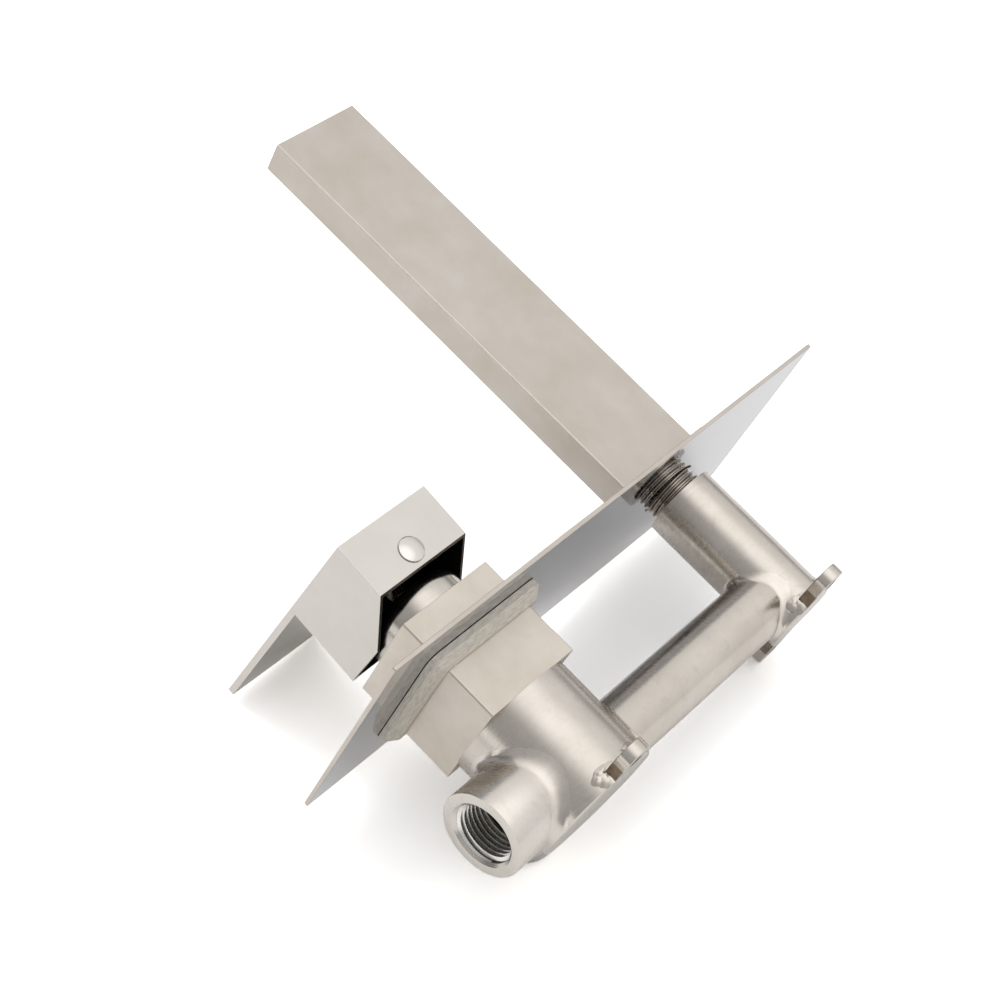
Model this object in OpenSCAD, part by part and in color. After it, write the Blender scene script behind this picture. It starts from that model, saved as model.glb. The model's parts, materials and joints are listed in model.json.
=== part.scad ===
// Wall-mounted single-lever basin mixer, stainless steel, for a body set into the wall.
// X runs to the right as seen by the user, Y into the wall, Z up. Millimetres.
// The origin is on the valve axis, in the wall-side plane of the body.

/* [Layout] */
// Depth from the wall-side plane to the back of the face plate
wall_depth = 63.5; // [58:0.5:80]
// Distance between the valve axis and the spout axis
centre_distance = 115; // [95:1:150]

/* [Face plate] */
// Length of the face plate
plate_length = 220; // [200:1:300]
// Distance from the valve axis to the plate's right end
plate_right = 50; // [35:0.5:75]
// Height of the face plate
plate_height = 87; // [70:1:120]
// Thickness of the face plate
plate_thickness = 1.5; // [1:0.1:4]
// Radius of the plate's four corners
plate_corner = 0.8; // [0.3:0.1:8]
// Play of the plate's openings round what passes through them
plate_play = 0.7; // [0.3:0.1:1.5]
// Thickness of the rubber gasket behind the plate
gasket_thickness = 5.4; // [3:0.1:8]
// Width of the gasket's rim at the plate
gasket_rim = 6; // [4.5:0.1:12]
// Height of the gasket's straight edge before its bevel
gasket_edge = 2.4; // [1:0.1:2.8]
// Width of the bevel on the gasket's back edge
gasket_bevel = 4; // [0.5:0.1:4]
// Radius of the gasket's outer corners
gasket_corner = 4.4; // [4.1:0.1:4.5]

/* [Valve body] */
// Side of the square valve block
block_size = 40; // [39:0.5:50]
// Height of the block in front of the face plate
block_front = 13; // [11:0.5:20]
// Length of the block behind the face plate
block_behind = 24.5; // [22:0.5:26]
// Chamfer of the block's long edges
block_chamfer = 0.5; // [0.2:0.1:2]
// Diameter of the round barrel behind the block
barrel_diameter = 45.2; // [43:0.1:56]
// Chamfer of the barrel's wall-side edge
barrel_chamfer = 0.6; // [0.2:0.1:2]

/* [Inlets] */
// Outer diameter of both supply inlets
inlet_diameter = 30; // [26:0.5:31]
// Distance from the valve axis to an inlet's mouth
inlet_reach = 39; // [37:0.5:60]
// Gap between an inlet and the wall-side plane
inlet_wall_gap = 1.5; // [0.5:0.1:4]
// Wall radius of the inlet's bore, a G1/2 thread's major diameter halved
thread_radius = 10.48; // [10:0.01:10.5]
// Depth of the inlet's thread
thread_depth = 13; // [10:0.5:14]
// Diameter of the bevel at an inlet's mouth
mouth_diameter = 23; // [22:0.5:25]
// Diameter of the waterway that runs on from an inlet's thread
supply_bore = 8; // [6:0.5:8.5]
// Distance from the valve axis to the blind end of a supply bore
supply_end = 5; // [5:0.1:6]
// Distance from the valve axis to the blind end of the outlet bore
outlet_end = 3; // [2.5:0.1:4]

/* [Cross tube] */
// Outer diameter of the tube between valve and spout
tube_diameter = 22; // [16:0.5:24]
// Wall of the cross tube
tube_wall = 2; // [1:0.1:3]
// Gap between the cross tube and the wall-side plane
tube_wall_gap = 1.8; // [0.5:0.1:4]
// Size of the weld fillet at the root of a tube or an inlet
weld_size = 2.2; // [1:0.1:3]

/* [Spout socket] */
// Outer diameter of the socket that takes the spout
socket_diameter = 26.8; // [25:0.1:32]
// Depth of the socket's threaded bore
socket_depth = 18; // [15:0.5:24]
// Diameter of the socket's waterway
socket_bore = 16; // [12:0.5:18]
// Wall at the closed end of the socket
socket_end_wall = 2.5; // [1:0.1:4]

/* [Screw lugs] */
// Thickness of a screw lug
lug_thickness = 4.5; // [3:0.1:8]
// Radius of a lug's round end
lug_radius = 6; // [5:0.1:9]
// Diameter of a lug's screw hole
lug_hole = 5; // [4:0.1:6.5]
// Distance of the valve lug's hole from the valve axis
valve_lug_offset = 29; // [28:0.5:40]
// Distance of a spout lug's hole from the spout axis
spout_lug_offset = 22; // [20:0.5:32]

/* [Spout] */
// Width of the flat spout
spout_width = 40; // [30:0.5:60]
// Height of the flat spout
spout_height = 13; // [12:0.5:20]
// Length of the spout in front of the face plate
spout_length = 180; // [140:1:240]
// Sheet thickness of the hollow spout
spout_wall = 1.5; // [1:0.1:2]
// Radius of the spout's long edges
spout_edge = 0.6; // [0.3:0.1:1.4]
// Height of the foot plate at the root of the spout
foot_height = 26; // [24:0.5:40]
// Thickness of the foot plate
foot_thickness = 6; // [4:0.5:10]
// Outer radius of the threaded nipple, a G1/2 thread halved
nipple_radius = 10.4; // [10.4:0.1:10.4]
// Bore radius of the nipple
nipple_bore_radius = 7; // [5:0.1:8]
// Length of nipple that screws into the socket
nipple_engagement = 14; // [10:0.5:14.5]

/* [Aerator] */
// Distance from the spout's tip to the centre of the outlet
outlet_setback = 20; // [16:0.5:40]
// Outer diameter of the aerator
aerator_diameter = 20; // [16:0.5:24]
// Height of the aerator
aerator_height = 7.5; // [6.5:0.1:7.6]
// Depth that the aerator sits back from the spout's underside
aerator_recess = 0.4; // [0.2:0.1:0.8]
// Wall of the aerator's seat ring
seat_wall = 2; // [1:0.1:4]

/* [Cartridge] */
// Diameter of the ceramic cartridge
cartridge_diameter = 25; // [25:0.1:25]
// Depth from the block's front to the cartridge's seat
cartridge_depth = 26; // [26:0.5:26]
// Outer diameter of the retaining nut's thread
nut_thread = 28; // [28:0.5:30]
// Length of the retaining nut's thread
nut_length = 6; // [5:0.5:7]
// Side of the square stem
stem_size = 7; // [6:0.1:7]
// Length of the stem in front of its pivot
stem_length = 29; // [27:0.5:30]
// Distance from the stem's pivot to the ball at its inner end
stem_arm = 9; // [9:0.1:9]
// Diameter of the pivot pin
pin_diameter = 3; // [2:0.1:3.4]
// Radius of the turning carrier
carrier_radius = 9.5; // [9.3:0.1:9.8]
// Radial running clearance of turning pieces
running_gap = 0.05; // [0.03:0.01:0.09]
// Clearance between loosely fitted pieces
fit_gap = 0.2; // [0.1:0.05:0.3]

/* [Bonnet] */
// Outer diameter of the domed bonnet
bonnet_diameter = 36; // [34:0.5:37]
// Height of the bonnet in front of the block
bonnet_height = 10; // [8:0.1:10.2]
// Sheet thickness of the bonnet
bonnet_wall = 1.2; // [0.8:0.1:1.5]
// Radius of the bonnet's front edge
bonnet_round = 6; // [5.6:0.1:6.4]

/* [Lever] */
// Width of the lever hood and its blade
hood_width = 40.5; // [40.5:0.5:44]
// Height of the lever hood
hood_height = 42; // [42:0.5:45]
// Distance from the tilt pivot to the front of the lever
lever_front = 35.9; // [35:0.1:40]
// Thickness of the lever's front blade
blade_thickness = 2.6; // [2:0.1:3.2]
// Length of the blade below the valve axis
blade_drop = 81.6; // [60:0.1:120]
// Sheet thickness of the hood's side, top and bottom walls
hood_wall = 1.2; // [0.8:0.1:1.2]
// Depth of the hood's top wall from the front of the lever
hood_top_depth = 20; // [19:0.1:20.5]
// Distance from the tilt pivot to the hood's rear edge
hood_rear_gap = 5.4; // [5.2:0.1:7]
// Lever opening as drawn, from its closed place beside the wall
lever_tilt = 5; // [0:0.5:25]
// Whole travel of the lever from closed to fully open
tilt_travel = 25; // [25:1:25]
// Distance from the tilt pivot to the grub screw, along the lever
grub_offset = 21.9; // [21.5:0.1:23]
// Diameter of the domed plug over the grub screw
plug_diameter = 9; // [8:0.1:9.5]
// Height of the plug's dome
plug_dome = 1.1; // [0.5:0.1:2]
// Diameter of the grub screw
grub_diameter = 5; // [4:0.5:6]

/* [Hidden] */
$fn = 96;
// Overlap that keeps a cut clean
cut = 1;
// Side of a box that is larger than the whole body
wall_zone = 4 * centre_distance;
// Planes across the wall depth, along Y
plate_back = -wall_depth;
plate_face = plate_back - plate_thickness;
block_face = plate_face - block_front;
block_back = plate_back + block_behind;
gasket_back = plate_back + gasket_thickness;
spout_tip = plate_face - spout_length;
foot_face = plate_face - foot_thickness;
spout_x = -centre_distance;
// Inlets and cross tube
inlet_radius = inlet_diameter / 2;
inlet_y = -inlet_wall_gap - inlet_radius;
barrel_radius = barrel_diameter / 2;
mouth_bevel = mouth_diameter / 2 - thread_radius;
tube_radius = tube_diameter / 2;
tube_bore = tube_radius - tube_wall;
tube_y = -tube_wall_gap - tube_radius;
socket_radius = socket_diameter / 2;
nipple_gap = 0.05;
washer_thickness = 1.5;
// Aerator and its seat
aerator_wall = 1.2;
aerator_seal_height = 0.8;
key_notch_width = 2;
key_notch_height = 1;
insert_recess = 0.6;
insert_top_gap = 1;
jet_step = 1.8;
jet_diameter = 1.1;
jet_angle = 30;
seal_top = aerator_recess + aerator_height + aerator_seal_height;
seat_lip = 0.8;
seat_lip_width = 1.6;
// Cartridge stack, from its seat to the front
bore_radius = cartridge_diameter / 2 + fit_gap;
housing_radius = cartridge_diameter / 2;
seat_y = block_face + cartridge_depth;
base_height = 4;
base_front = seat_y - base_height;
port_radius = 2.6;
port_offset = 7;
port_overrun = 1.7;
port_angles = [0, 270, 135];
seal_height = 1.5;
seal_width = 1.4;
seal_radius = port_radius + seal_width;
disc_height = 3.5;
disc_radius = 10.6;
fixed_front = base_front - disc_height;
disc_gap = 0.02;
moving_height = 3;
moving_radius = 8.4;
moving_front = fixed_front - disc_gap - moving_height;
driver_height = 4;
driver_radius = 7.6;
driver_front = moving_front - driver_height;
driver_gap = 0.8;
pocket_wall = 3;
pocket_depth = 1.6;
ball_floor = 0.3;
cavity_radius = 11.4;
carrier_flange = 2.5;
carrier_flange_radius = cavity_radius - fit_gap;
carrier_back = driver_front - driver_gap;
neck_back = carrier_back - carrier_flange - fit_gap;
housing_shoulder = block_face + nut_length;
housing_recess = 1.5;
housing_front = block_face + housing_recess;
neck_radius = 10.9;
carrier_reach = 2;
carrier_front = block_face - carrier_reach;
pivot_recess = 3.5;
pivot_y = block_face + pivot_recess;
seal_cord = 0.45;
seal_setback = 2.8;
seal_plane = pivot_y + seal_setback;
seal_groove_play = 0.2;
pin_fit = 0.01;
pin_recess = 0.5;
nut_head = 5;
nut_head_radius = 15.3;
nut_slot_width = 4;
nut_slot_depth = 1.5;
ring_radius = 0.9;
ring_offset = 1.9;
ring_groove_half = 1;
ring_center_radius = bonnet_diameter / 2 - bonnet_wall - ring_radius - disc_gap;
bonnet_play = 1.1;
bonnet_opening = carrier_radius + bonnet_play;
// Stem and lever
stem_offset = tilt_travel / 2;
stem_tilt = lever_tilt - stem_offset;
ball_radius = 2.5;
neck_stem_radius = 2;
slot_play = 0.4;
slot_half = stem_size / 2 / cos(stem_offset) + (pivot_y - carrier_front) * tan(stem_offset) + slot_play;
hub_radius = 7.5;
hub_start = 19;
plug_lip = 0.8;
plug_hole_radius = plug_diameter / 2 - plug_lip;
plug_spigot = 2.2;
grub_length = 7;
grub_key_diameter = 3;
grub_key_depth = 2.5;
stem_end_gap = 0.5;
stem_play = 0.1;
steel = [0.80, 0.78, 0.74];
bright = [0.86, 0.85, 0.82];
plate_grey = [0.76, 0.76, 0.78];
dark = [0.32, 0.31, 0.30];
rubber = [0.55, 0.53, 0.49];
plastic = [0.90, 0.90, 0.88];
ceramic = [0.96, 0.95, 0.90];
brass = [0.78, 0.66, 0.40];

// A flat outline with true round corners
module rounded(w, h, r) {
    square([w - 2 * r, h], center = true);
    square([w, h - 2 * r], center = true);
    for (sx = [-1, 1], sy = [-1, 1])
        translate([sx * (w / 2 - r), sy * (h / 2 - r)])
            circle(r);
}

// A solid of a flat outline from one Y plane to another, drawn as seen from the front
module along_y(from_y, to_y) {
    translate([0, to_y, 0])
        rotate([90, 0, 0])
            linear_extrude(to_y - from_y)
                children();
}

// A round bar along Y at a place in X and Z
module bar_y(r, from_y, to_y, x = 0, z = 0) {
    translate([x, to_y, z])
        rotate([90, 0, 0])
            cylinder(r = r, h = to_y - from_y);
}

// A ring along Y
module ring_y(outer, inner, from_y, to_y, x = 0, z = 0) {
    difference() {
        bar_y(outer, from_y, to_y, x, z);
        bar_y(inner, from_y - cut, to_y + cut, x, z);
    }
}

// Turns a piece about the tilt pivot, a positive angle opening the lever
module tilted(angle) {
    translate([0, pivot_y, 0])
        rotate([-angle, 0, 0])
            children();
}

// The two supply bores and the outlet bore, as drilled from the cartridge's seat
module ports(from_y) {
    for (i = [0, 1])
        rotate([0, -port_angles[i], 0])
            bar_y(port_radius, from_y, inlet_y + port_overrun, port_offset);
    rotate([0, -port_angles[2], 0])
        bar_y(port_radius, from_y, tube_y + port_overrun, port_offset);
}

// The room behind the wall-side plane, where nothing of the body may stand
module behind_body() {
    translate([-wall_zone / 2, 0, -wall_zone / 2])
        cube(wall_zone);
}

// An inlet along X, cut to the barrel's round side
module inlet_x() {
    difference() {
        translate([0, inlet_y, 0])
            rotate([0, 90, 0])
                union() {
                    cylinder(r = inlet_radius, h = inlet_reach);
                    translate([0, 0, barrel_radius - weld_size])
                        cylinder(r1 = inlet_radius + weld_size, r2 = inlet_radius, h = 2 * weld_size);
                }
        bar_y(barrel_radius, block_back, cut);
        behind_body();
        translate([inlet_reach - thread_depth - mouth_bevel, inlet_y, 0])
            rotate([0, 90, 0])
                cylinder(r = thread_radius, h = thread_depth + mouth_bevel + cut);
        translate([inlet_reach - mouth_bevel, inlet_y, 0])
            rotate([0, 90, 0])
                cylinder(r1 = thread_radius, r2 = mouth_diameter / 2, h = mouth_bevel);
        translate([0, inlet_y, 0])
            rotate([0, 90, 0])
                cylinder(r = supply_bore / 2, h = inlet_reach);
    }
}

// A screw lug on the round body of radius body_r, pointing up from its axis
module lug(offset_z, body_r) {
    difference() {
        union() {
            bar_y(lug_radius, -lug_thickness, 0, 0, offset_z);
            translate([-lug_radius, -lug_thickness, 0])
                cube([2 * lug_radius, lug_thickness, offset_z]);
        }
        bar_y(body_r, -lug_thickness - cut, cut);
        bar_y(lug_hole / 2, -lug_thickness - cut, cut, 0, offset_z);
    }
}

module valve_barrel() {
    color(steel)
        difference() {
            union() {
                bar_y(barrel_radius, block_back, -barrel_chamfer);
                rotate([90, 0, 0])
                    cylinder(r1 = barrel_radius - barrel_chamfer, r2 = barrel_radius, h = barrel_chamfer);
            }
            ports(block_back - cut);
            translate([supply_end, inlet_y, 0])
                rotate([0, 90, 0])
                    cylinder(r = supply_bore / 2, h = barrel_radius);
            translate([0, inlet_y, -supply_end])
                rotate([180, 0, 0])
                    cylinder(r = supply_bore / 2, h = barrel_radius);
            translate([-outlet_end, tube_y, 0])
                rotate([0, -90, 0])
                    cylinder(r = supply_bore / 2, h = barrel_radius);
        }
}

module valve_block() {
    h = block_size / 2;
    i = h - block_chamfer;
    color(steel)
        difference() {
            along_y(block_face, block_back)
                polygon([[-h, -i], [-i, -h], [i, -h], [h, -i], [h, i], [i, h], [-i, h], [-h, i]]);
            bar_y(bore_radius, block_face - cut, seat_y);
            bar_y(nut_thread / 2 + fit_gap, block_face - cut, housing_shoulder);
            ports(seat_y - cut);
        }
}

module side_inlet() {
    color(steel)
        inlet_x();
}

module bottom_inlet() {
    color(steel)
        rotate([0, 90, 0])
            inlet_x();
}

module cross_tube() {
    length = centre_distance;
    color(steel)
        difference() {
            translate([0, tube_y, 0])
                rotate([0, -90, 0])
                    union() {
                        cylinder(r = tube_radius, h = length);
                        translate([0, 0, barrel_radius - weld_size])
                            cylinder(r1 = tube_radius + weld_size, r2 = tube_radius, h = 2 * weld_size);
                        translate([0, 0, length - socket_radius - weld_size])
                            cylinder(r1 = tube_radius, r2 = tube_radius + weld_size, h = 2 * weld_size);
                    }
            bar_y(barrel_radius, block_back, cut);
            bar_y(socket_radius, gasket_back - cut, cut, spout_x);
            behind_body();
            translate([0, tube_y, 0])
                rotate([0, -90, 0])
                    cylinder(r = tube_bore, h = length);
        }
}

module spout_socket() {
    color(steel)
        difference() {
            union() {
                bar_y(socket_radius, gasket_back, -barrel_chamfer, spout_x);
                translate([spout_x, 0, 0])
                    rotate([90, 0, 0])
                        cylinder(r1 = socket_radius - barrel_chamfer, r2 = socket_radius, h = barrel_chamfer);
            }
            bar_y(nipple_radius + nipple_gap, gasket_back - cut, gasket_back + socket_depth, spout_x);
            bar_y(socket_bore / 2, gasket_back, -socket_end_wall, spout_x);
            translate([spout_x, tube_y, 0])
                rotate([0, 90, 0])
                    cylinder(r = min(tube_bore, socket_bore / 2 - cut), h = socket_radius + cut);
        }
}

module valve_lug() {
    color(steel)
        lug(valve_lug_offset, barrel_radius);
}

module upper_spout_lug() {
    color(steel)
        translate([spout_x, 0, 0])
            lug(spout_lug_offset, socket_radius);
}

module lower_spout_lug() {
    color(steel)
        translate([spout_x, 0, 0])
            rotate([0, 180, 0])
                lug(spout_lug_offset, socket_radius);
}

module face_plate() {
    opening = block_size + 2 * plate_play;
    color(plate_grey)
        difference() {
            translate([plate_right - plate_length / 2, 0, 0])
                along_y(plate_face, plate_back)
                    rounded(plate_length, plate_height, plate_corner);
            along_y(plate_face - cut, plate_back + cut)
                square(opening, center = true);
            bar_y(nipple_radius + plate_play, plate_face - cut, plate_back + cut, spout_x);
        }
}

module plate_gasket() {
    w = block_size / 2 + gasket_rim;
    c = w - gasket_corner;
    slope = gasket_thickness - gasket_edge;
    back_corner = gasket_corner - gasket_bevel;
    color(rubber)
        difference() {
            translate([0, plate_back, 0])
                union() {
                    for (a = [0, 90])
                        rotate([0, a, 0])
                            translate([0, 0, -c])
                                linear_extrude(2 * c)
                                    polygon([[-w, 0], [w, 0], [w, gasket_edge],
                                        [w - gasket_bevel, gasket_thickness],
                                        [gasket_bevel - w, gasket_thickness], [-w, gasket_edge]]);
                    for (sx = [-c, c], sz = [-c, c])
                        translate([sx, 0, sz])
                            rotate([-90, 0, 0])
                                union() {
                                    cylinder(r = gasket_corner, h = gasket_edge);
                                    translate([0, 0, gasket_edge])
                                        cylinder(r1 = gasket_corner, r2 = back_corner, h = slope);
                                }
                }
            along_y(plate_back - cut, gasket_back + cut)
                square(block_size + 2 * fit_gap, center = true);
        }
}

module spout_shell() {
    color(steel)
        difference() {
            translate([spout_x, 0, 0])
                along_y(spout_tip + spout_wall, foot_face)
                    rounded(spout_width, spout_height, spout_edge);
            translate([spout_x, 0, 0])
                along_y(spout_tip, foot_face + cut)
                    square([spout_width - 2 * spout_wall, spout_height - 2 * spout_wall], center = true);
            translate([spout_x, spout_tip + outlet_setback, -spout_height])
                cylinder(r = aerator_diameter / 2 + fit_gap, h = spout_height);
        }
}

module spout_tip_plate() {
    color(steel)
        translate([spout_x, 0, 0])
            along_y(spout_tip, spout_tip + spout_wall)
                rounded(spout_width, spout_height, spout_edge);
}

module spout_foot() {
    color(steel)
        difference() {
            translate([spout_x, 0, 0])
                along_y(foot_face, plate_face)
                    rounded(spout_width, foot_height, spout_edge);
            bar_y(spout_height / 2 - spout_wall, foot_face - cut, plate_face + cut, spout_x);
        }
}

module spout_nipple() {
    color(bright)
        ring_y(nipple_radius, nipple_bore_radius, plate_face, gasket_back + nipple_engagement, spout_x);
}

module spout_washer() {
    start = gasket_back + socket_depth - washer_thickness;
    color(dark)
        ring_y(nipple_radius - fit_gap, nipple_bore_radius, start, start + washer_thickness, spout_x);
}

// Places a piece over the outlet, with Z up from the spout's underside
module at_outlet(z) {
    translate([spout_x, spout_tip + outlet_setback, z - spout_height / 2])
        children();
}

module aerator_seat() {
    color(steel)
        at_outlet(spout_wall)
            difference() {
                cylinder(r = aerator_diameter / 2 + seat_wall, h = seal_top - spout_wall + seat_lip);
                translate([0, 0, -cut])
                    cylinder(r = aerator_diameter / 2 + fit_gap, h = seal_top - spout_wall + cut);
                cylinder(r = aerator_diameter / 2 - seat_lip_width, h = spout_height);
            }
}

module aerator_housing() {
    color(bright)
        at_outlet(aerator_recess)
            difference() {
                cylinder(r = aerator_diameter / 2, h = aerator_height);
                translate([0, 0, -cut])
                    cylinder(r = aerator_diameter / 2 - aerator_wall, h = aerator_height + 2 * cut);
                for (a = [0, 90, 180, 270])
                    rotate([0, 0, a])
                        translate([aerator_diameter / 2 - 2 * aerator_wall, -key_notch_width / 2, -cut])
                            cube([3 * aerator_wall, key_notch_width, key_notch_height + cut]);
            }
}

module aerator_insert() {
    outer = aerator_diameter / 2 - aerator_wall - fit_gap / 2;
    color(plastic)
        at_outlet(aerator_recess + insert_recess)
            difference() {
                cylinder(r = outer, h = aerator_height - insert_recess - insert_top_gap);
                for (r = [jet_step : jet_step : outer - jet_step / 2], a = [0 : jet_angle : 360 - jet_angle])
                    rotate([0, 0, a + jet_angle / 2])
                        translate([r, 0, -cut])
                            cylinder(d = min(jet_diameter, r / 3), h = aerator_height);
            }
}

module aerator_seal() {
    color(dark)
        at_outlet(aerator_height + aerator_recess)
            difference() {
                cylinder(r = aerator_diameter / 2, h = aerator_seal_height);
                translate([0, 0, -cut])
                    cylinder(r = aerator_diameter / 2 - seat_lip_width, h = aerator_seal_height + 2 * cut);
            }
}

// The three ports through a flat piece of the cartridge
module port_holes(r, from_y, to_y) {
    for (a = port_angles)
        rotate([0, -a, 0])
            bar_y(r, from_y, to_y, port_offset);
}

module cartridge_base() {
    color(plastic)
        difference() {
            bar_y(housing_radius, base_front, seat_y);
            port_holes(port_radius, base_front - cut, seat_y + cut);
            port_holes(seal_radius, seat_y - seal_height, seat_y + cut);
        }
}

module port_seals() {
    color(dark)
        for (a = port_angles)
            rotate([0, -a, 0])
                ring_y(seal_radius, port_radius, seat_y - seal_height, seat_y, port_offset);
}

module fixed_disc() {
    color(ceramic)
        difference() {
            bar_y(disc_radius, fixed_front, base_front);
            port_holes(port_radius, fixed_front - cut, base_front + cut);
        }
}

module cartridge_housing() {
    color(plastic)
        difference() {
            union() {
                bar_y(housing_radius, housing_shoulder, base_front);
                bar_y(neck_radius, housing_front, housing_shoulder);
            }
            bar_y(cavity_radius, neck_back, base_front + cut);
            bar_y(carrier_radius + running_gap, housing_front - cut, neck_back + cut);
        }
}

module retaining_nut() {
    inner = neck_radius + fit_gap / 2;
    color(brass)
        difference() {
            union() {
                bar_y(nut_thread / 2, block_face, housing_shoulder);
                bar_y(nut_head_radius, block_face - nut_head, block_face);
            }
            bar_y(inner, block_face - nut_head - cut, housing_shoulder + cut);
            for (a = [0, 60, 120])
                rotate([0, a, 0])
                    translate([-nut_slot_width / 2, block_face - nut_head - cut, -block_size / 2])
                        cube([nut_slot_width, nut_slot_depth + cut, block_size]);
            ring_y(nut_head_radius + cut, ring_center_radius - ring_radius,
                block_face - ring_offset - ring_groove_half,
                block_face - ring_offset + ring_groove_half);
        }
}

module bonnet_ring() {
    color(dark)
        translate([0, block_face - ring_offset, 0])
            rotate([90, 0, 0])
                rotate_extrude()
                    translate([ring_center_radius, 0])
                        circle(ring_radius);
}

module bonnet() {
    r = bonnet_diameter / 2;
    color(bright)
        translate([0, block_face, 0])
            rotate([90, 0, 0])
                rotate_extrude()
                    difference() {
                        union() {
                            square([r, bonnet_height - bonnet_round]);
                            square([r - bonnet_round, bonnet_height]);
                            translate([r - bonnet_round, bonnet_height - bonnet_round])
                                circle(bonnet_round);
                        }
                        square([r - bonnet_wall, bonnet_height - bonnet_round]);
                        square([r - bonnet_round, bonnet_height - bonnet_wall]);
                        translate([r - bonnet_round, bonnet_height - bonnet_round])
                            circle(bonnet_round - bonnet_wall);
                        square([bonnet_opening, bonnet_height + cut]);
                        translate([0, -bonnet_round])
                            square([r + cut, bonnet_round]);
                    }
}

module stem_carrier() {
    color(plastic)
        difference() {
            union() {
                bar_y(carrier_flange_radius, carrier_back - carrier_flange, carrier_back);
                bar_y(carrier_radius, carrier_front, carrier_back);
            }
            translate([-stem_size / 2 - fit_gap, carrier_front - cut, -slot_half])
                cube([stem_size + 2 * fit_gap, carrier_back - carrier_front + 2 * cut, 2 * slot_half]);
            translate([-carrier_radius - cut, pivot_y, 0])
                rotate([0, 90, 0])
                    cylinder(r = pin_diameter / 2 + pin_fit, h = 2 * (carrier_radius + cut));
            ring_y(carrier_radius + cut, carrier_radius - 2 * seal_cord,
                seal_plane - seal_cord - seal_groove_play,
                seal_plane + seal_cord + seal_groove_play);
        }
}

module carrier_seal() {
    color(dark)
        translate([0, seal_plane, 0])
            rotate([90, 0, 0])
                rotate_extrude()
                    translate([carrier_radius - seal_cord, 0])
                        circle(seal_cord - disc_gap);
}

module pivot_pin() {
    length = 2 * (carrier_radius - pin_recess);
    color(bright)
        translate([-length / 2, pivot_y, 0])
            rotate([0, 90, 0])
                cylinder(r = pin_diameter / 2, h = length);
}

// Places a piece of the disc pair where the stem's ball holds it
module at_ball() {
    translate([0, 0, -stem_arm * sin(stem_tilt)])
        children();
}

module moving_disc() {
    color(ceramic)
        at_ball()
            difference() {
                bar_y(moving_radius, moving_front, fixed_front - disc_gap);
                bar_y(moving_radius - pocket_wall, fixed_front - pocket_depth, fixed_front + cut);
            }
}

module disc_driver() {
    color(plastic)
        at_ball()
            difference() {
                bar_y(driver_radius, driver_front, moving_front);
                bar_y(ball_radius + 2 * running_gap, driver_front - cut, moving_front - ball_floor);
            }
}

module stem() {
    color(bright)
        tilted(stem_tilt)
            difference() {
                union() {
                    translate([-stem_size / 2, -stem_length, -stem_size / 2])
                        cube([stem_size, stem_length + stem_size / 2, stem_size]);
                    bar_y(neck_stem_radius, 0, stem_arm);
                    translate([0, stem_arm, 0])
                        sphere(ball_radius);
                }
                translate([-stem_size, 0, 0])
                    rotate([0, 90, 0])
                        cylinder(r = pin_diameter / 2 + running_gap, h = 2 * stem_size);
            }
}

// The lever's side outline, as [distance along Y from the pivot, height]
module lever_outline() {
    h = hood_height / 2;
    polygon([[-lever_front, h],
        [-lever_front + hood_top_depth, h],
        [-hood_rear_gap, 0],
        [-hood_rear_gap, -h],
        [-lever_front + blade_thickness, -h],
        [-lever_front + blade_thickness, -blade_drop],
        [-lever_front, -blade_drop]]);
}

module lever_body() {
    inner_width = hood_width - 2 * hood_wall;
    inner_height = hood_height - 2 * hood_wall;
    color(bright)
        tilted(lever_tilt)
            difference() {
                translate([-hood_width / 2, 0, 0])
                    rotate([90, 0, 90])
                        linear_extrude(hood_width)
                            lever_outline();
                translate([-inner_width / 2, -lever_front + blade_thickness, -inner_height / 2])
                    cube([inner_width, lever_front, inner_height]);
                translate([0, -grub_offset, 0])
                    cylinder(r = plug_hole_radius, h = hood_height);
            }
}

module lever_hub() {
    back = -lever_front + blade_thickness;
    pocket = stem_size + 2 * running_gap;
    color(brass)
        tilted(lever_tilt)
            difference() {
                rotate([stem_offset, 0, 0])
                    bar_y(hub_radius, back - hub_radius, -hub_start);
                translate([-2 * hub_radius, back - 2 * hub_radius, -4 * hub_radius])
                    cube([4 * hub_radius, 2 * hub_radius, 8 * hub_radius]);
                rotate([stem_offset, 0, 0])
                    translate([-pocket / 2, -stem_length - stem_end_gap, -pocket / 2])
                        cube([pocket, stem_length, pocket]);
                translate([0, -grub_offset, -hub_radius])
                    cylinder(r = grub_diameter / 2 + running_gap, h = 4 * hub_radius);
            }
}

module grub_screw() {
    color(dark)
        tilted(lever_tilt)
            translate([0, -grub_offset, grub_seat()])
                difference() {
                    cylinder(r = grub_diameter / 2, h = grub_length);
                    translate([0, 0, grub_length - grub_key_depth])
                        cylinder(d = grub_key_diameter, h = grub_key_depth + cut, $fn = 6);
                }
}

// Height of the stem's top under the grub screw, in the lever's own frame
function grub_seat() =
    (stem_size / 2 + stem_play) / cos(stem_offset)
    - (grub_offset - grub_diameter / 2) * tan(stem_offset);

module lever_plug() {
    h = hood_height / 2;
    r = plug_diameter / 2;
    dome = (r * r + plug_dome * plug_dome) / (2 * plug_dome);
    color(bright)
        tilted(lever_tilt)
            translate([0, -grub_offset, 0])
                union() {
                    intersection() {
                        translate([0, 0, h + plug_dome - dome])
                            sphere(dome);
                        translate([0, 0, h])
                            cylinder(r = r + cut, h = 2 * plug_dome);
                    }
                    translate([0, 0, h - plug_spigot])
                        cylinder(r = plug_hole_radius - running_gap, h = plug_spigot + pin_fit);
                }
}

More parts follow.
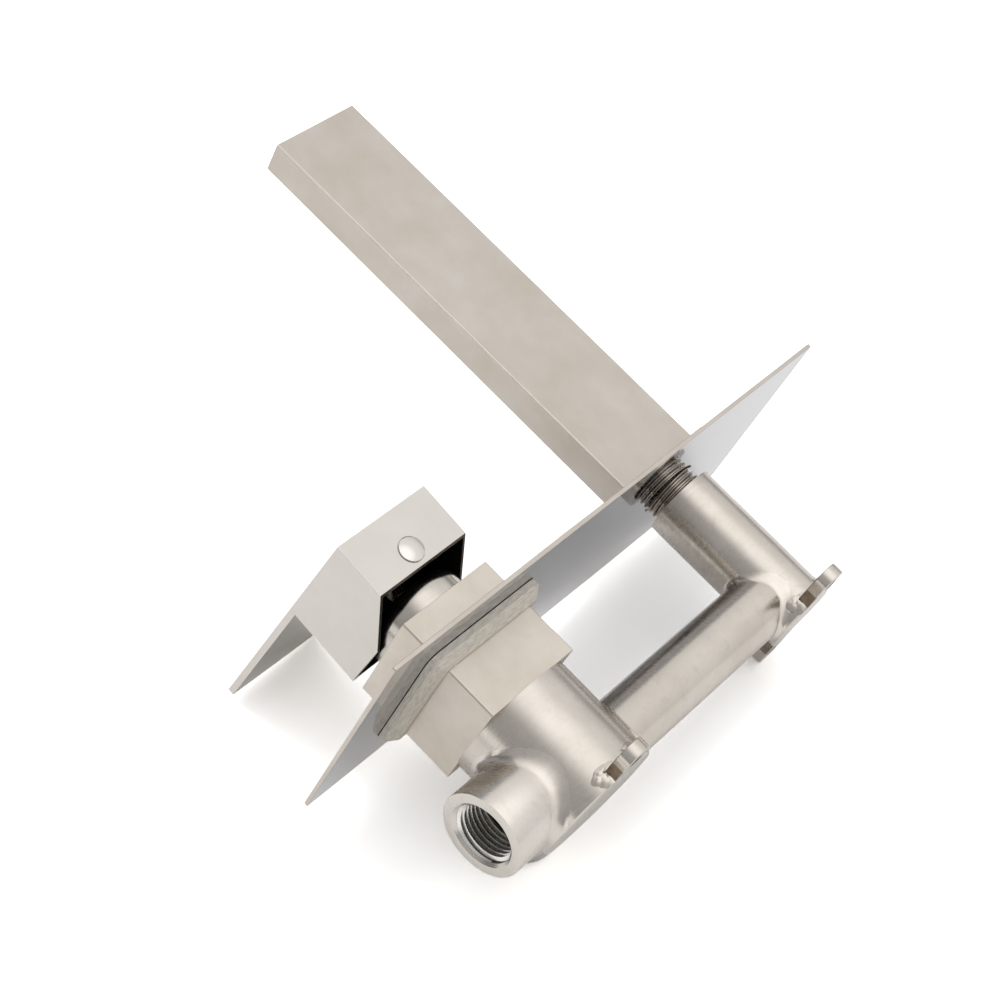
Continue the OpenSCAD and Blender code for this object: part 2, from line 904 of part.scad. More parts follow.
valve_barrel();
valve_block();
side_inlet();
bottom_inlet();
cross_tube();
spout_socket();
valve_lug();
upper_spout_lug();
lower_spout_lug();
face_plate();
plate_gasket();
spout_shell();
spout_tip_plate();
spout_foot();
spout_nipple();
spout_washer();
aerator_seat();
aerator_housing();
aerator_insert();
aerator_seal();
cartridge_base();
port_seals();
fixed_disc();
cartridge_housing();
retaining_nut();
bonnet_ring();
bonnet();
stem_carrier();
carrier_seal();
pivot_pin();
moving_disc();
disc_driver();
stem();
lever_body();
lever_hub();
grub_screw();
lever_plug();
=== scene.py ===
"""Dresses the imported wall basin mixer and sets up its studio, camera and light."""

import json
import logging
import math
from dataclasses import dataclass, field
from enum import Enum
from typing import Callable, ClassVar, Iterable, Optional, Sequence

import bmesh
import bpy
from mathutils import Matrix, Vector, noise


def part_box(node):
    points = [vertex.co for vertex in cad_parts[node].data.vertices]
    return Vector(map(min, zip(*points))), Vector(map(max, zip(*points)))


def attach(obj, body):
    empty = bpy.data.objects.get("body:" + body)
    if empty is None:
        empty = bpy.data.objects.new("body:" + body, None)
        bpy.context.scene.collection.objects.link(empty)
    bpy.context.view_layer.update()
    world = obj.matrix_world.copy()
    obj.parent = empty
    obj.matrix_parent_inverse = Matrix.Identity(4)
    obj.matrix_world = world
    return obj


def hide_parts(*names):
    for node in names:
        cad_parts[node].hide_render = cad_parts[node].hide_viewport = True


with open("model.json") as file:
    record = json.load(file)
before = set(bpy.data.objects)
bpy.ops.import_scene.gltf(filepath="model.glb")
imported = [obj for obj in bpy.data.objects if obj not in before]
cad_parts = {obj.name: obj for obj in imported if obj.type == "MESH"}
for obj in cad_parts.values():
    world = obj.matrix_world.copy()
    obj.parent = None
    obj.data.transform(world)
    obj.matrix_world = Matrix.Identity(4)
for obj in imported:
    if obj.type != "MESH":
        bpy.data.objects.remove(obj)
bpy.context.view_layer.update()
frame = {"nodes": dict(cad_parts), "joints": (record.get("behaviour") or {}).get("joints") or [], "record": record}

LOG = logging.getLogger("basin_mixer")
MOUNTS = {mount["name"]: mount for mount in frame["record"]["mounts"]}
JOINTS = {joint["name"]: joint for joint in frame["joints"]}

# All lengths are in metres and all angles in radians, unless a name or comment says otherwise
MM = 0.001
MERGE = 0.001 * MM
WALL_MARGIN = 0.1 * MM
FLAT_AREA = 15 * MM * MM
FLAT_JOIN = math.radians(0.4)
SHARP_EDGE = math.radians(32)
SLANT = 0.12

# Each pattern of a finish starts somewhere else, so that no two run together
PATCH_START = (0.3, 0.1, 0.7)
STAIN_START = (0.9, 0.4, 0.2)
PORE_START = (0.2, 0.6, 0.1)
FINE_START = (0.5, 0.5, 0.5)

WHITE = (1.0, 1.0, 1.0, 1.0)
BLACK = (0.0, 0.0, 0.0, 1.0)

Colour = tuple[float, float, float]
Place = tuple[float, float, float]
Pair = tuple[float, float]
Material = bpy.types.Material
Socket = bpy.types.NodeSocket
Face = bmesh.types.BMFace
Edge = bmesh.types.BMEdge
Mesh = bmesh.types.BMesh


def lowest(node: str) -> list[float]:
    """Returns the lowest corner of a CAD node's box, to the micrometre."""
    return [round(c, 6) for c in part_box(node)[0]]


def highest(node: str) -> list[float]:
    """Returns the highest corner of a CAD node's box, to the micrometre."""
    return [round(c, 6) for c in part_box(node)[1]]


class Grain(Enum):
    """Which way the marks of the last polish run, as a stretch of the noise along X, Y and Z."""

    ALONG_X = (0.03, 1.0, 1.0)
    ALONG_Y = (1.0, 0.03, 1.0)
    ALONG_Z = (1.0, 1.0, 0.03)
    ROUND_X = (1.0, 0.06, 0.06)
    ROUND_Y = (0.06, 1.0, 0.06)
    EVEN = (1.0, 1.0, 1.0)

    def at_least(self, least: float) -> tuple[float, ...]:
        """Returns the stretch with no axis drawn out further than that."""
        return tuple(max(share, least) for share in self.value)


class Slope(Enum):
    """How a mapped value runs from its start to its end."""

    STRAIGHT = "LINEAR"
    SOFT = "SMOOTHSTEP"


class Graph:
    """A node tree, with short calls to add nodes and join them."""

    def __init__(self, tree: bpy.types.NodeTree) -> None:
        """Takes the node tree of a material or of the world and empties it."""
        self.tree = tree
        tree.nodes.clear()

    def add(self, kind: str, values: Optional[dict[str, object]] = None) -> bpy.types.Node:
        """Adds a node.

        Args:
            kind: The node's type, without the word ShaderNode before it.
            values: What its inputs are set to, by their names.

        Returns:
            The new node.
        """
        node = self.tree.nodes.new(f"ShaderNode{kind}")
        for name, value in (values or {}).items():
            node.inputs[name].default_value = value
        return node

    def join(self, source: Socket, target: Socket) -> None:
        """Joins one socket to another."""
        self.tree.links.new(source, target)

    def spread(self, source: Socket, low: float, high: float, start: float = 0.35, end: float = 0.65,
               slope: Slope = Slope.STRAIGHT) -> Socket:
        """Maps a stretch of a value, such as a noise, to a range of values.

        Args:
            source: The value.
            low: The result at the stretch's start and below it.
            high: The result at the stretch's end and above it.
            start: Where the stretch starts.
            end: Where the stretch ends.
            slope: How the result runs between them.

        Returns:
            The socket with the mapped value.
        """
        node = self.add("MapRange", {"From Min": start, "From Max": end, "To Min": low, "To Max": high})
        node.interpolation_type = slope.value
        self.join(source, node.inputs["Value"])
        return node.outputs["Result"]

    def mixed(self, share: Socket, first: Socket, second: Socket) -> Socket:
        """Mixes two shaders.

        Args:
            share: How much of the second one is taken.
            first: The shader at 0.
            second: The shader at 1.

        Returns:
            The socket with the mixed shader.
        """
        node = self.add("MixShader")
        for source, target in zip((share, first, second), node.inputs):
            self.join(source, target)
        return node.outputs["Shader"]


class Recipe(Graph):
    """A material's node tree, which starts with its shader, its output and the object's coordinates."""

    def __init__(self, name: str) -> None:
        """Starts a new material.

        Args:
            name: The material's name.
        """
        self.material = bpy.data.materials.new(name)
        self.material.use_nodes = True
        super().__init__(self.material.node_tree)
        self.output = self.add("OutputMaterial")
        self.shader = self.add("BsdfPrincipled")
        self.join(self.shader.outputs["BSDF"], self.output.inputs["Surface"])
        self.place = self.add("TexCoord").outputs["Object"]

    def noise(self, size: float, stretch: Sequence[float] = Grain.EVEN.value, detail: float = 3.0,
              start: Sequence[float] = (0.0, 0.0, 0.0)) -> Socket:
        """Adds a noise in the object's own coordinates.

        Args:
            size: The size of its features.
            stretch: How often they repeat along each axis, from 0 to 1.
            detail: The number of finer layers.
            start: Where the pattern starts.

        Returns:
            The socket with the noise, about 0.5 on average.
        """
        mapping = self.add("Mapping", {"Location": start, "Scale": [share / size for share in stretch]})
        texture = self.add("TexNoise", {"Scale": 1.0, "Detail": detail, "Roughness": 0.6})
        self.join(self.place, mapping.inputs["Vector"])
        self.join(mapping.outputs["Vector"], texture.inputs["Vector"])
        return texture.outputs["Fac"]

    def blend(self, share: Socket, first: Colour | Socket, second: Colour | Socket) -> Socket:
        """Mixes two colours.

        Args:
            share: How much of the second colour is taken.
            first: The colour at 0.
            second: The colour at 1.

        Returns:
            The socket with the mixed colour.
        """
        node = self.add("Mix")
        node.data_type = "RGBA"
        self.join(share, node.inputs["Factor"])
        for value, name in ((first, "A"), (second, "B")):
            socket = next(s for s in node.inputs if s.name == name and s.type == "RGBA")
            if isinstance(value, Socket):
                self.join(value, socket)
            else:
                socket.default_value = (*value, 1.0)
        return next(s for s in node.outputs if s.type == "RGBA")

    def bump(self, height: Socket, strength: float, depth: float) -> None:
        """Raises the surface by a height map.

        Args:
            height: The map, from 0 to 1.
            strength: How strongly it shows, from 0 to 1.
            depth: The depth of the marks.
        """
        node = self.add("Bump", {"Strength": strength, "Distance": depth})
        self.join(height, node.inputs["Height"])
        self.join(node.outputs["Normal"], self.shader.inputs["Normal"])

    def finished(self, colour: Socket, rough: Socket, metallic: float) -> Material:
        """Joins the colour and the roughness to the shader.

        Args:
            colour: The surface's colour.
            rough: Its roughness.
            metallic: 1 for metal, and 0 for all else.

        Returns:
            The finished material.
        """
        self.join(colour, self.shader.inputs["Base Color"])
        self.join(rough, self.shader.inputs["Roughness"])
        self.shader.inputs["Metallic"].default_value = metallic
        return self.material


@dataclass(frozen=True)
class SteelFinish:
    """Stainless steel after its last polish."""

    name: str
    slot: str
    tone: Colour = (0.62, 0.565, 0.51)
    shade: Colour = (0.56, 0.505, 0.45)
    stain: Optional[Colour] = None
    stain_share: float = 0.4
    stain_size: float = 0.22
    roughness: float = 0.32
    spread: float = 0.05
    grain: Grain = Grain.EVEN
    grain_size: float = 0.45 * MM
    grain_depth: float = 0.0025 * MM
    patch_size: float = 14 * MM

    def material(self) -> Material:
        """Builds the material: a soft mottle, stains, and the fine marks of the polish.

        Returns:
            The new material.
        """
        recipe = Recipe(self.name)
        marks = recipe.noise(self.grain_size, self.grain.value, detail=4.0)
        patches = recipe.noise(self.patch_size, detail=4.0, start=PATCH_START)
        colour = recipe.blend(recipe.spread(patches, 0.0, 1.0), self.tone, self.shade)
        if self.stain is not None:
            spots = recipe.noise(self.patch_size * self.stain_size, detail=6.0, start=STAIN_START)
            share = recipe.spread(spots, 0.0, self.stain_share, start=0.55, end=0.75)
            colour = recipe.blend(share, colour, self.stain)
        rough = recipe.spread(
            marks, self.roughness - self.spread, self.roughness + self.spread, start=0.3, end=0.7)
        recipe.bump(marks, 0.5, self.grain_depth)
        return recipe.finished(colour, rough, metallic=1.0)


@dataclass(frozen=True)
class RubberFinish:
    """Rubber, mottled where it was cut or moulded."""

    name: str
    slot: str
    tone: Colour
    shade: Colour
    grain: Grain = Grain.EVEN
    cloud_size: float = 0.6 * MM
    pore_size: float = 0.3 * MM
    pore_depth: float = 0.06 * MM

    def material(self) -> Material:
        """Builds the material: a cloudy colour with pores and cut marks.

        Returns:
            The new material.
        """
        recipe = Recipe(self.name)
        clouds = recipe.noise(self.cloud_size, self.grain.at_least(0.2), detail=6.0)
        pores = recipe.noise(self.pore_size, self.grain.at_least(0.3), detail=5.0, start=PORE_START)
        colour = recipe.blend(recipe.spread(clouds, 0.0, 1.0, start=0.4, end=0.62), self.tone, self.shade)
        recipe.bump(pores, 0.6, self.pore_depth)
        return recipe.finished(colour, recipe.spread(pores, 0.45, 0.8), metallic=0.0)


@dataclass(frozen=True)
class PlainFinish:
    """A moulded, cast or machined surface with little texture."""

    name: str
    slot: str
    tone: Colour
    shade: Colour
    roughness: float = 0.4
    metallic: float = 0.0
    unevenness: float = 0.15
    cloud_size: float = 5 * MM
    fine_size: float = 0.4 * MM
    fine_depth: float = 0.01 * MM

    def material(self) -> Material:
        """Builds the material: two close tones and a slightly uneven gloss.

        Returns:
            The new material.
        """
        recipe = Recipe(self.name)
        clouds = recipe.noise(self.cloud_size)
        fine = recipe.noise(self.fine_size, start=FINE_START)
        colour = recipe.blend(recipe.spread(clouds, 0.0, 1.0), self.tone, self.shade)
        smoothest, roughest = (self.roughness * (1 + sign * self.unevenness) for sign in (-1, 1))
        recipe.bump(fine, 0.3, self.fine_depth)
        return recipe.finished(colour, recipe.spread(fine, smoothest, roughest), self.metallic)


Finish = SteelFinish | RubberFinish | PlainFinish
Choice = Callable[[Face], Finish]

# The welded body
TURNED_BODY = SteelFinish(
    "turned_steel", "body_steel", (0.64, 0.595, 0.54), (0.58, 0.535, 0.48), (0.49, 0.44, 0.385),
    roughness=0.25, grain=Grain.ROUND_Y)
TUBE_STEEL = SteelFinish(
    "tube_steel", "body_steel", (0.64, 0.595, 0.535), (0.59, 0.54, 0.48), (0.47, 0.42, 0.365),
    roughness=0.24, grain=Grain.ROUND_X, grain_depth=0.001 * MM)
INLET_STEEL = SteelFinish(
    "inlet_steel", "body_steel", (0.69, 0.65, 0.60), (0.645, 0.605, 0.55), (0.55, 0.50, 0.45),
    roughness=0.26, grain=Grain.ROUND_X)
BLOCK_STEEL = SteelFinish(
    "block_steel", "body_steel", (0.695, 0.64, 0.57), (0.625, 0.565, 0.49), roughness=0.4,
    patch_size=18 * MM)
LUG_STEEL = SteelFinish(
    "lug_steel", "body_steel", (0.62, 0.58, 0.53), (0.57, 0.52, 0.46), roughness=0.22)
# A lug is darker brown towards its root, where it meets the body
LUG_ROOT = SteelFinish(
    "lug_root_steel", "body_steel", (0.33, 0.27, 0.21), (0.22, 0.17, 0.13), roughness=0.3,
    grain=Grain.ALONG_Y, patch_size=3 * MM)
# The inside of an inlet's bore is painted dark as shade
BORE_SHADE = SteelFinish(
    "bore_painted_shade", "body_steel", (0.24, 0.225, 0.20), (0.17, 0.16, 0.145), roughness=0.4)
# The wall of a lug's hole is painted near black as shade
LUG_HOLE_SHADE = SteelFinish(
    "lug_hole_painted_shade", "body_steel", (0.06, 0.055, 0.05), (0.03, 0.028, 0.025), roughness=0.5)
WELD_STEEL = SteelFinish(
    "weld_steel", "body_steel", (0.70, 0.655, 0.60), (0.65, 0.60, 0.54), (0.55, 0.50, 0.44),
    roughness=0.22, patch_size=4 * MM)
LUMP_STEEL = SteelFinish(
    "weld_lump_steel", "body_steel", (0.65, 0.60, 0.545), (0.58, 0.53, 0.465), (0.20, 0.155, 0.115),
    stain_share=0.8, roughness=0.2, patch_size=9 * MM)
# The inlet's thread ridge is painted very light as a highlight
THREAD_HIGHLIGHT = SteelFinish(
    "thread_painted_highlight", "body_steel", (0.90, 0.885, 0.85), (0.86, 0.84, 0.80), roughness=0.28, spread=0.02)

# The plate, the spout and the lever
PLATE_FACE = SteelFinish("plate_face_steel", "plate_steel", roughness=0.34, grain=Grain.ALONG_X)
PLATE_BACK = SteelFinish(
    "plate_back_steel", "plate_steel", (0.43, 0.43, 0.445), (0.42, 0.42, 0.435), roughness=0.05,
    spread=0.01, grain=Grain.ALONG_X, grain_depth=0.0003 * MM)
SPOUT_STEEL = SteelFinish(
    "spout_steel", "spout_steel", (0.615, 0.57, 0.52), (0.555, 0.50, 0.44), roughness=0.38,
    grain=Grain.ALONG_Y, grain_depth=0.002 * MM, patch_size=26 * MM)
# The spout's rounded edges are painted light as a highlight
SPOUT_EDGE_HIGHLIGHT = SteelFinish(
    "spout_edge_painted_highlight", "spout_steel", (0.84, 0.79, 0.73), (0.78, 0.73, 0.67), roughness=0.55)
NIPPLE_STEEL = SteelFinish(
    "nipple_steel", "spout_steel", (0.50, 0.46, 0.41), (0.36, 0.32, 0.28), roughness=0.2)
LEVER_STEEL = SteelFinish(
    "lever_steel", "lever_steel", (0.675, 0.64, 0.595), (0.645, 0.61, 0.565), roughness=0.3,
    spread=0.02, grain=Grain.ALONG_Z, grain_depth=0.0004 * MM)
# The lever's rounded edges are painted light as a highlight
LEVER_EDGE_HIGHLIGHT = SteelFinish(
    "lever_edge_painted_highlight", "lever_steel", (0.86, 0.83, 0.79), (0.84, 0.81, 0.77), roughness=0.5)
# The blade's back is a darker copy of the lever's steel, painted as shade
LEVER_BACK_SHADE = SteelFinish(
    "lever_back_painted_shade", "lever_steel", (0.56, 0.53, 0.495), (0.52, 0.49, 0.455), roughness=0.3,
    spread=0.02, grain=Grain.ALONG_Z, grain_depth=0.0004 * MM)
# The hood's rear rim is painted dark as shade
LEVER_REAR_SHADE = SteelFinish(
    "lever_rear_painted_shade", "lever_steel", (0.16, 0.15, 0.14), (0.11, 0.105, 0.10), roughness=0.4)
# The hood's inside is painted near black as shade
LEVER_INSIDE_SHADE = SteelFinish(
    "lever_inside_painted_shade", "lever_steel", (0.06, 0.055, 0.05), (0.03, 0.028, 0.025), roughness=0.5)
POLISHED_STEEL = SteelFinish(
    "polished_steel", "lever_steel", (0.72, 0.685, 0.64), (0.70, 0.665, 0.62), roughness=0.1,
    spread=0.02, grain_depth=0.0005 * MM)
BONNET_STEEL = SteelFinish(
    "bonnet_steel", "lever_steel", (0.64, 0.60, 0.55), (0.55, 0.51, 0.46), roughness=0.2,
    grain=Grain.ROUND_Y)
PIN_STEEL = SteelFinish("pin_steel", "pin_steel", roughness=0.25)

# Rubber, plastic, ceramic and brass
GASKET_ACROSS = RubberFinish(
    "gasket_rubber_across", "gasket_rubber", (0.79, 0.735, 0.65), (0.62, 0.575, 0.50), Grain.ALONG_X)
GASKET_UPRIGHT = RubberFinish(
    "gasket_rubber_upright", "gasket_rubber", (0.73, 0.68, 0.595), (0.57, 0.525, 0.455), Grain.ALONG_Z)
# The gasket's line against the plate is painted near black as shade
GASKET_SEAM_SHADE = RubberFinish(
    "gasket_seam_painted_shade", "gasket_rubber", (0.025, 0.022, 0.02), (0.012, 0.011, 0.01))
SEAL_RUBBER = RubberFinish("seal_rubber", "seal_rubber", (0.02, 0.02, 0.02), (0.012, 0.012, 0.012))
MOULDED_PLASTIC = PlainFinish(
    "moulded_plastic", "cartridge_plastic", (0.80, 0.80, 0.78), (0.76, 0.76, 0.74))
DISC_CERAMIC = PlainFinish(
    "lapped_ceramic", "ceramic", (0.88, 0.86, 0.80), (0.85, 0.83, 0.77), roughness=0.15)
NUT_BRASS = PlainFinish(
    "aged_brass", "brass", (0.30, 0.24, 0.14), (0.24, 0.19, 0.11), roughness=0.35, metallic=1.0)


def placed(name: str, data: bpy.types.ID) -> bpy.types.Object:
    """Puts a new object in the scene.

    Args:
        name: Its name.
        data: What it shows.

    Returns:
        The new object.
    """
    made = bpy.data.objects.new(name, data)
    bpy.context.scene.collection.objects.link(made)
    return made


def solid(name: str, bm: Mesh) -> bpy.types.Object:
    """Makes an object of a mesh.

    Args:
        name: Its name.
        bm: Its mesh, which is freed.

    Returns:
        The new object.
    """
    data = bpy.data.meshes.new(name)
    bm.to_mesh(data)
    bm.free()
    return placed(name, data)


def merged_copy(node: str) -> Mesh:
    """Copies a CAD node's mesh with its triangles joined to whole faces.

    Args:
        node: The CAD node.

    Returns:
        The new mesh.
    """
    bm = bmesh.new()
    bm.from_mesh(frame["nodes"][node].data)
    bmesh.ops.remove_doubles(bm, verts=bm.verts, dist=MERGE)
    bmesh.ops.dissolve_limit(bm, angle_limit=FLAT_JOIN, verts=bm.verts, edges=bm.edges,
                             use_dissolve_boundaries=False)
    return bm


def slanted(part: Face) -> bool:
    """Tells whether a face lies across a square piece's edge and isn't one of its sides."""
    return sorted(abs(c) for c in part.normal)[1] > SLANT


def sharp_edges(bm: Mesh) -> list[Edge]:
    """Returns a mesh's sharp edges."""
    return [edge for edge in bm.edges if edge.calc_face_angle(0.0) > SHARP_EDGE]


def round_edges(bm: Mesh, edges: Sequence[Edge], width: float, segments: int = 3,
                finish: int = -1) -> None:
    """Rounds edges of a mesh.

    Args:
        bm: The mesh.
        edges: The edges.
        width: The rounding's width.
        segments: The number of strips that it has.
        finish: The number of its own finish, or -1 for that of the faces beside it.
    """
    bmesh.ops.bevel(bm, geom=edges, offset=width, offset_type="OFFSET", segments=segments, profile=0.5,
                    affect="EDGES", material=finish, clamp_overlap=True)
    bm.normal_update()


def turned(outline: Iterable[Pair], centre: Vector, axis: Vector, side: Vector, steps: int,
           angle: float = math.tau, rise: float = 0.0) -> Mesh:
    """Turns a closed outline about an axis.

    Args:
        outline: Pairs of radius and distance along the axis.
        centre: The point on the axis that the distances start from.
        axis: The axis, of length 1.
        side: The direction across the axis in which the outline is drawn, of length 1.
        steps: The number of strips.
        angle: How far it is turned.
        rise: How far each step moves it along the axis, which is 0 for a closed ring.

    Returns:
        The closed mesh.
    """
    bm = bmesh.new()
    verts = [bm.verts.new(centre + side * radius + axis * along) for radius, along in outline]
    edges = [bm.edges.new(pair) for pair in zip(verts, verts[1:] + verts[:1])]
    bmesh.ops.spin(bm, geom=verts + edges, cent=centre, axis=axis, dvec=axis * rise, angle=angle,
                   steps=steps, use_merge=rise == 0, use_duplicate=False)
    bmesh.ops.remove_doubles(bm, verts=bm.verts, dist=MERGE)
    bmesh.ops.dissolve_degenerate(bm, dist=MERGE, edges=bm.edges)
    bmesh.ops.holes_fill(bm, edges=[edge for edge in bm.edges if edge.is_boundary], sides=0)
    bmesh.ops.recalc_face_normals(bm, faces=bm.faces)
    return bm


@dataclass
class Assembly:
    """A group of pieces that are built and dressed together."""

    made_finishes: ClassVar[dict[Finish, Material]] = {}
    pieces: list[bpy.types.Object] = field(default_factory=list, init=False)

    def material(self, finish: Finish) -> Material:
        """Makes a finish's material, once for all assemblies.

        Args:
            finish: The finish.

        Returns:
            Its material.
        """
        if finish not in self.made_finishes:
            self.made_finishes[finish] = finish.material()
        return self.made_finishes[finish]

    def dress(self, finish: Finish, *nodes: str) -> None:
        """Gives CAD nodes a finish.

        Args:
            finish: The finish of all of their faces.
            nodes: The nodes' names.
        """
        for node in nodes:
            data = frame["nodes"][node].data
            data.materials.clear()
            data.materials.append(self.material(finish))

    def piece(self, name: str, bm: Mesh, finishes: Sequence[Finish], body: str = "fixed",
              node: Optional[str] = None, smooth: float = 12.0, flat_sides: bool = False,
              choose: Optional[Choice] = None) -> None:
        """Makes an object of a finished bmesh and lets it ride on a body.

        Args:
            name: The piece's name.
            bm: Its mesh, in place, which is freed.
            finishes: Its finishes, in the order of its material slots.
            body: The CAD body that it moves with.
            node: The CAD node that it stands for.
            smooth: The angle in degrees above which an edge stays sharp.
            flat_sides: Whether its large sides are flat and are shaded so.
            choose: Gives each face its finish.
        """
        if choose is not None:
            for part in bm.faces:
                part.material_index = finishes.index(choose(part))
        made = solid(name, bm)
        data = made.data
        # A copy of a CAD node brings the node's own normals along
        if "custom_normal" in data.attributes:
            data.attributes.remove(data.attributes["custom_normal"])
        data.set_sharp_from_angle(angle=math.radians(smooth))
        for part in data.polygons:
            part.use_smooth = not flat_sides or part.area < FLAT_AREA
        for finish in finishes:
            data.materials.append(self.material(finish))
        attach(made, body)
        if node is not None:
            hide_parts(node)
        self.pieces.append(made)

    def softened(self, node: str, finishes: Sequence[Finish], width: float = 0.0,
                 body: str = "fixed", choose: Optional[Choice] = None) -> None:
        """Puts a copy in a CAD node's place, its sharp edges rounded.

        Args:
            node: The CAD node.
            finishes: The copy's finishes.
            width: The rounding's width, or 0 for none.
            body: The node's body.
            choose: Gives each face its finish.
        """
        bm = merged_copy(node)
        if width > 0:
            round_edges(bm, sharp_edges(bm), width)
        self.piece(f"{node}_shown", bm, finishes, body, node, flat_sides=True, choose=choose)

    def build(self) -> None:
        """Builds the assembly's pieces."""
        raise NotImplementedError


@dataclass(frozen=True)
class Thread:
    """A pipe thread's ridge, with the pitch of G 1/2 unless told otherwise."""

    crest: float
    root: float
    pitch: float = 1.814 * MM
    crest_width: float = 0.3 * MM
    root_width: float = 1.5 * MM
    steps_per_turn: int = 72

    def ridge(self, centre: Vector, axis: Vector, side: Vector, length: float) -> Mesh:
        """Winds the ridge's outline round its axis.

        Args:
            centre: The point on the axis level with the middle of the ridge's start.
            axis: The direction in which the thread runs, of length 1.
            side: A direction across the axis, of length 1.
            length: How far the thread runs.

        Returns:
            The ridge as a closed mesh.
        """
        root, crest = self.root_width / 2, self.crest_width / 2
        outline = [(self.root, -root), (self.crest, -crest), (self.crest, crest), (self.root, root)]
        turns = (length - self.root_width) / self.pitch
        return turned(outline, centre, axis, side, round(turns * self.steps_per_turn), turns * math.tau,
                      self.pitch / self.steps_per_turn)


@dataclass(frozen=True)
class Branch:
    """A tube or inlet that is welded to a round body, its axis across the body's own."""

    start: Vector
    axis: Vector
    radius: float
    fillet: float
    segments: int = 144
    fillet_steps: int = 8
    # The welds' feet waver so much, from this share of the fillet outwards
    ripple: float = 0.012 * MM
    ripple_start: float = 0.2
    ripple_counts: tuple[int, int] = (38, 17)
    ripple_shift: float = 1.3

    def side(self) -> Vector:
        """Returns the direction across both the branch and the body."""
        return self.axis.cross(Vector((0, 1, 0)))

    def spun(self, outline: Sequence[Pair]) -> Mesh:
        """Returns a closed outline of radii and distances turned about the branch's axis."""
        return turned(outline, self.start, self.axis, self.side(), self.segments)

    def fillet_outline(self, fillet: float) -> list[Pair]:
        """Returns the radii and heights of a hollow weld fillet from its foot on the body to the tube."""
        turns = [math.pi / 2 * (1 - step / self.fillet_steps) for step in range(self.fillet_steps + 1)]
        return [(self.radius + fillet * (1 - math.cos(a)), fillet * (1 - math.sin(a))) for a in turns]

    def weld_ripple(self, turn: float) -> float:
        """Returns how far the weld's foot stands out at an angle round the branch."""
        first, second = self.ripple_counts
        return self.ripple * (math.sin(first * turn) + math.sin(second * turn + self.ripple_shift))

    def seat(self, bm: Mesh, near: bool, body_x: float, body_radius: float,
             limit: float) -> None:
        """Moves one end of the spun mesh along the axis on to a round body.

        Args:
            bm: The spun mesh.
            near: Whether it is the end at the branch's start or the far one.
            body_x: Where the body's axis stands along X.
            body_radius: The body's radius.
            limit: The distance along the axis that parts the moved end from the rest.
        """
        side = self.side()
        for vert in bm.verts:
            along = (vert.co - self.start).dot(self.axis)
            if (along < limit) != near:
                continue
            across = (vert.co - Vector((body_x, 0, 0))).dot(side)
            height = math.sqrt(max(0.0, body_radius ** 2 - across ** 2))
            beyond = (vert.co - self.start - self.axis * along).length - self.radius
            if beyond > self.ripple_start * self.fillet:
                height += self.weld_ripple(math.atan2(across, vert.co.y - self.start.y))
            vert.co += self.axis * (height if near else -height)
        for vert in bm.verts:
            vert.co.y = min(vert.co.y, -WALL_MARGIN)


@dataclass(frozen=True)
class WeldLump:
    """A lump of weld that runs out softly on a round body beside a lug.

    Its offset is how far it stands round the body from the lug's side, and its depth is along Y.
    """

    offset: float
    depth: float
    size: float
    half_width: float = 5.2 * MM
    half_length: float = 3.6 * MM
    height: float = 0.75 * MM
    sink: float = 0.25 * MM
    rim_sink: float = 0.1
    waver: float = 0.3
    waver_pitch: float = 1.2
    rough: float = 0.45
    rough_pitch: float = 2.0
    seed_scale: float = 400.0
    seed_step: float = 7.0
    subdivisions: int = 6

    def lay(self, bm: Mesh, x: float, up: float, side: int, foot: float, radius: float) -> None:
        """Adds the lump to a weld.

        Args:
            bm: The weld's mesh.
            x: Where the body's axis stands along X.
            up: 1 for a lug above the axis, or -1 for one below it.
            side: 1 for the side of the lug towards +X, or -1 for the other one.
            foot: The angle round the body from the lug's middle to its side.
            radius: The body's radius.
        """
        seed = Vector((x, self.depth, up * radius)) * self.seed_scale + Vector((self.seed_step * side, 0, 0))
        made = bmesh.ops.create_icosphere(bm, subdivisions=self.subdivisions, radius=1.0)
        for vert in made["verts"]:
            spot = vert.co.copy()
            flat = Vector((spot.x, spot.y, 0))
            wide = self.size * (1 + self.waver * noise.noise(flat * self.waver_pitch + seed))
            lift = -self.sink * (self.rim_sink + abs(spot.z))
            if spot.z > 0:
                rough = 1 + self.rough * noise.noise(flat * self.rough_pitch + seed)
                lift = self.size * self.height * spot.z ** 2 * rough - self.rim_sink * self.sink
            lean = side * (foot + (self.offset + wide * spot.x * self.half_width) / radius)
            out = Vector((math.sin(lean), 0, up * math.cos(lean)))
            vert.co = Vector((x, 0, 0)) + out * (radius + lift)
            vert.co.y = min(self.depth + wide * spot.y * self.half_length, -WALL_MARGIN)


